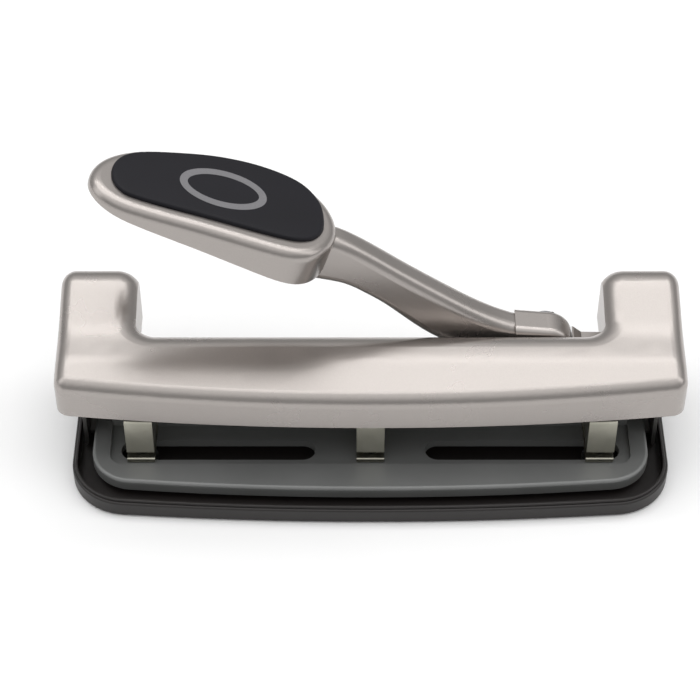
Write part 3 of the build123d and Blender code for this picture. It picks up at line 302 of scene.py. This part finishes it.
# %% Soft-touch elastomer
soft_touch, tree, shader, place = start_material("soft_touch_elastomer", IOR=1.45)
pebbles = add_node(tree, "ShaderNodeTexVoronoi",
                   {"feature": "SMOOTH_F1"}, {"Vector": place, "Scale": per_mm(0.7)})
haze = add_node(tree, "ShaderNodeTexNoise", links={"Vector": place, "Scale": per_mm(25), "Detail": 3.0})
tint = add_node(tree, "ShaderNodeMix", {"data_type": "RGBA"},
                {MIX_FACTOR: haze.outputs[0],
                 MIX_FROM: linear("#0F0E13"), MIX_TO: linear("#18171E")})
sheen = add_node(tree, "ShaderNodeMapRange",
                 links={"Value": haze.outputs[0], "To Min": 0.5, "To Max": 0.6})
bump = add_node(tree, "ShaderNodeBump",
                links={"Height": pebbles.outputs["Distance"], "Strength": 0.2, "Distance": 0.08 * MM})
shader.inputs["Specular IOR Level"].default_value = 0.3
tree.links.new(tint.outputs[MIX_RESULT], shader.inputs["Base Color"])
tree.links.new(sheen.outputs[0], shader.inputs["Roughness"])
tree.links.new(bump.outputs[0], shader.inputs["Normal"])
print(soft_touch.name, len(tree.nodes), "nodes")

# %% [markdown]
# ## Ring, feet and floor
# Three plain materials. The ring is self-coloured ABS, the feet are black nitrile rubber that
# has picked up a little dust, and the floor is matt white paper.

# %% Ring, feet and floor
ring_grey, tree, shader, place = start_material("moulded_grey_abs", IOR=1.53)
fine = add_node(tree, "ShaderNodeTexNoise",
                links={"Vector": place, "Scale": per_mm(0.6), "Detail": 3.0})
tint = add_node(tree, "ShaderNodeMix", {"data_type": "RGBA"},
                {MIX_FACTOR: fine.outputs[0],
                 MIX_FROM: linear("#676668"), MIX_TO: linear("#7B7A7D")})
tree.links.new(tint.outputs[MIX_RESULT], shader.inputs["Base Color"])
shader.inputs["Roughness"].default_value = 0.45

foot_rubber, tree, shader, place = start_material("moulded_nitrile_rubber", IOR=1.52, Roughness=0.7)
dust = add_node(tree, "ShaderNodeTexNoise", links={"Vector": place, "Scale": per_mm(4), "Detail": 5.0})
tint = add_node(tree, "ShaderNodeMix", {"data_type": "RGBA"},
                {MIX_FACTOR: dust.outputs[0],
                 MIX_FROM: linear("#131313"), MIX_TO: linear("#252423")})
tree.links.new(tint.outputs[MIX_RESULT], shader.inputs["Base Color"])

floor_paper, tree, shader, place = start_material("matt_white_paper", Roughness=0.9)
fibre = add_node(tree, "ShaderNodeTexNoise",
                 links={"Vector": place, "Scale": per_mm(60), "Detail": 3.0})
tint = add_node(tree, "ShaderNodeMix", {"data_type": "RGBA"},
                {MIX_FACTOR: fibre.outputs[0],
                 MIX_FROM: linear("#F6F6F6"), MIX_TO: linear("#F9F9F9")})
tree.links.new(tint.outputs[MIX_RESULT], shader.inputs["Base Color"])
floor.data.materials.append(floor_paper)
print("materials", len(bpy.data.materials))

# %% [markdown]
# ## Remade mouldings
# Three pieces are modelled again, because a moulding never has the crisp corners of a machined
# solid: the feet, the ring in the palm pad and the pad itself. Each starts as a primitive of the
# right size, is shaped in edit mode, and stands for its solid in the frame.

# %% Tools for modelled pieces
SMOOTH_ANGLE = math.radians(35)     # edges flatter than this are shaded as one surface
FACES_UP = 0.9                      # a face counts as an upper one when its normal rises this far
FACES_DOWN = -0.9


def select_only(piece):
    """Makes one object the active and only selected one."""
    if bpy.context.mode != "OBJECT":
        bpy.ops.object.mode_set(mode="OBJECT")
    bpy.ops.object.select_all(action="DESELECT")
    piece.select_set(True)
    bpy.context.view_layer.objects.active = piece


def hand_over(piece, material, body, slot, *nodes):
    """Bakes the piece's place and gives it its finish and body; slot is not used."""
    select_only(piece)
    bpy.ops.object.transform_apply(location=True, rotation=True, scale=True)
    bpy.ops.object.shade_smooth_by_angle(angle=SMOOTH_ANGLE)
    piece.data.materials.append(material)
    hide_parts(*nodes)
    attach(piece, body)
    print(piece.name, len(piece.data.polygons), "faces,",
          [round(side / MM, 1) for side in piece.dimensions], "mm")


print("tools ready, smooth up to", round(math.degrees(SMOOTH_ANGLE)), "degrees")

# %% [markdown]
# ## Rubber feet
# Four nitrile discs sit in round pockets under the pan. They are punched from sheet and
# tumbled, which rounds their lower rims. A disc of the pocket's size with one bevelled rim says
# this with few faces. One foot is modelled, and three copies of it go to the other corners.

# %% Rubber feet
FOOT_RADIUS = 6.0 * MM
FOOT_TALL = 1.8 * MM
FOOT_SIDES = 64
FOOT_RIM = 0.5 * MM
FOOT_X = 112 * MM
FOOT_FRONT = -32 * MM
FOOT_BACK = 38 * MM

bpy.ops.object.select_all(action="DESELECT")
bpy.ops.mesh.primitive_cylinder_add(vertices=FOOT_SIDES, radius=FOOT_RADIUS, depth=FOOT_TALL,
                                    location=(-FOOT_X, FOOT_FRONT, FOOT_TALL / 2))
feet = bpy.context.object
feet.name = "feet_moulded"
bpy.ops.object.mode_set(mode="EDIT")
bpy.ops.mesh.select_all(action="DESELECT")
bpy.ops.object.mode_set(mode="OBJECT")
for face in feet.data.polygons:
    face.select = face.normal.z < FACES_DOWN
bpy.ops.object.mode_set(mode="EDIT")
bpy.ops.mesh.bevel(offset=FOOT_RIM, segments=4, affect="EDGES")
bpy.ops.object.mode_set(mode="OBJECT")

copies = []
for x, y in ((-FOOT_X, FOOT_BACK), (FOOT_X, FOOT_FRONT), (FOOT_X, FOOT_BACK)):
    foot = feet.copy()
    foot.data = feet.data.copy()
    foot.location = (x, y, FOOT_TALL / 2)
    bpy.context.scene.collection.objects.link(foot)
    copies.append(foot)
select_only(feet)
for foot in copies:
    foot.select_set(True)
bpy.ops.object.join()
hand_over(feet, foot_rubber, "base_pan", "rubber", "rubber_feet")

# %% [markdown]
# ## Ring in the palm pad
# The oval ring is a separate strip of grey ABS let into the pad. It is an ellipse with an even
# band: a circle is stretched, inset by the width of the band and opened in the middle, and its
# upper edges are eased.

# %% Ring in the palm pad
REST_TILT = math.radians(18)
REST_ROOT = Vector((-15.6, 0, 122.5)) * MM      # where the slope of the palm rest starts
RING_DEPTH = 0.6                                # millimetres into the pad
RING_MIDDLE = Vector((-53.0, 26.0, -RING_DEPTH)) * MM
RING_SIZE = Vector((40.2, 24.0, 0)) * MM
RING_BAND = 3.6 * MM
RING_SIDES = 128
RING_EASE = 0.2 * MM
GROOVE_CLEAR = 1 * MM                           # the groove's cutter rises this far over the pad


def lay_on_slope(piece):
    """Moves a piece, modelled flat with the tip towards -X, onto the slope of the palm rest."""
    piece.rotation_euler = (0, REST_TILT, 0)
    piece.location = REST_ROOT


def oval_band(name, thickness):
    """Flat elliptical band with its lower face at the ring's depth."""
    bpy.ops.object.select_all(action="DESELECT")
    bpy.ops.mesh.primitive_circle_add(vertices=RING_SIDES, radius=0.5, fill_type="NGON")
    band = bpy.context.object
    band.name = name
    bpy.ops.object.mode_set(mode="EDIT")
    bpy.ops.mesh.select_all(action="SELECT")
    bpy.ops.transform.resize(value=(RING_SIZE.x, RING_SIZE.y, 1))
    bpy.ops.transform.translate(value=RING_MIDDLE)
    bpy.ops.mesh.inset(thickness=RING_BAND, use_even_offset=True)
    bpy.ops.mesh.delete(type="ONLY_FACE")
    bpy.ops.mesh.select_all(action="SELECT")
    bpy.ops.mesh.extrude_region_move(TRANSFORM_OT_translate={"value": (0, 0, thickness)})
    bpy.ops.mesh.select_all(action="SELECT")
    bpy.ops.mesh.normals_make_consistent(inside=False)
    bpy.ops.object.mode_set(mode="OBJECT")
    return band


ring = oval_band("ring_moulded", RING_DEPTH * MM)
for face in ring.data.polygons:
    face.select = face.normal.z > FACES_UP
bpy.ops.object.mode_set(mode="EDIT")
bpy.ops.mesh.region_to_loop()
bpy.ops.mesh.bevel(offset=RING_EASE, segments=3, affect="EDGES")
bpy.ops.object.mode_set(mode="OBJECT")
groove = oval_band("groove_cutter", RING_DEPTH * MM + GROOVE_CLEAR)
lay_on_slope(ring)
hand_over(ring, ring_grey, "lever", "ring_plastic", "pad_ring")

# %% [markdown]
# ## Palm pad
# The pad is moulded from a thermoplastic elastomer over the hard palm rest. It has a soft
# rounded rim, because the mould's edge is eased and rubber shrinks away from it. Its outline is
# a closed curve through a few places, measured along and across the slope; the pad is that
# outline, raised, with its upper rim bevelled and the groove for the ring cut out.

# %% Palm pad
PAD_PLACES = [(7.0, 13.0), (14.0, 6.6), (27.0, 4.9), (60.0, 6.6), (90.0, 8.2), (99.0, 11.2),
              (103.2, 18.5), (102.0, 29.0), (94.0, 37.2), (76.0, 43.4), (55.0, 47.9), (35.0, 48.2),
              (18.0, 43.8), (8.5, 34.5), (5.6, 23.0)]
PAD_THICKNESS = 3.5 * MM
PAD_RIM = 1.5 * MM
PAD_STEPS = 10                  # points of the outline from one place to the next


def smooth_loop(places, steps):
    """Closed Catmull-Rom curve through the places, as a list of points."""
    loop = []
    count = len(places)
    for index in range(count):
        a, b, c, d = (Vector(places[(index + k - 1) % count]) for k in range(4))
        for step in range(steps):
            t = step / steps
            loop.append((2 * b + (c - a) * t + (2 * a - 5 * b + 4 * c - d) * t * t
                         + (3 * b - a - 3 * c + d) * t * t * t) / 2)
    return loop


loop = smooth_loop(PAD_PLACES, PAD_STEPS)
bpy.ops.object.select_all(action="DESELECT")
bpy.ops.mesh.primitive_circle_add(vertices=len(loop), radius=1, fill_type="NGON")
pad = bpy.context.object
pad.name = "palm_pad_moulded"
for vertex, (along, across) in zip(pad.data.vertices, loop):
    vertex.co = (-along * MM, across * MM, -PAD_THICKNESS)
bpy.ops.object.mode_set(mode="EDIT")
bpy.ops.mesh.select_all(action="SELECT")
bpy.ops.mesh.extrude_region_move(TRANSFORM_OT_translate={"value": (0, 0, PAD_THICKNESS)})
bpy.ops.mesh.bevel(offset=PAD_RIM, segments=6, affect="EDGES")
bpy.ops.mesh.select_all(action="SELECT")
bpy.ops.mesh.normals_make_consistent(inside=False)
bpy.ops.object.mode_set(mode="OBJECT")
cut = pad.modifiers.new("ring_groove", "BOOLEAN")
cut.operation = "DIFFERENCE"
cut.solver = "EXACT"
cut.object = groove
bpy.ops.object.modifier_apply(modifier="ring_groove")
bpy.data.objects.remove(groove)
lay_on_slope(pad)
hand_over(pad, soft_touch, "lever", "pad_plastic", "grip_pad")

# %% [markdown]
# ## Dress the frame
# Every solid that keeps its own shape gets its finish here, by what it is made of.

# %% Finishes for the frame's own solids
SIDES = ("left", "centre", "right")
finishes = {
    silver_lacquer: ["cover", "hinge_fairing", "root_collar", "handle_shell", "handle_underside"],
    textured_black: ["base_pan"],
    grey_enamel: ["base_plate"],
    grey_strip: ["end_plate_left", "end_plate_right"],
    dark_strip: ["rear_frame_plate", "pivot_lug", "press_bar", "slide_bar", "lever_core"],
    ground_bar: ["guide_rod", "guide_pins", "follower_pins", "sector_gear", "pivot_shaft"]
    + [f"{piece}_{side}" for piece in ("die", "punch") for side in SIDES],
    spring_wire: ["rod_clips", "shaft_clip"]
    + [f"{piece}_{side}" for piece in ("die_ring", "spring_clip", "punch_spring") for side in SIDES],
    nickel_strip: [f"head_{side}" for side in SIDES],
    zinc_screw: ["base_screws", "frame_screws", "cover_screws", "handle_screws"],
    sintered_bronze: ["shaft_bushes"],
}
for material, names in finishes.items():
    for name in names:
        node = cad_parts[name]
        node.data.materials.clear()
        node.data.materials.append(material)
dressed = {name for names in finishes.values() for name in names}
print("dressed", len(dressed), "remade", sorted(set(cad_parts) - dressed))
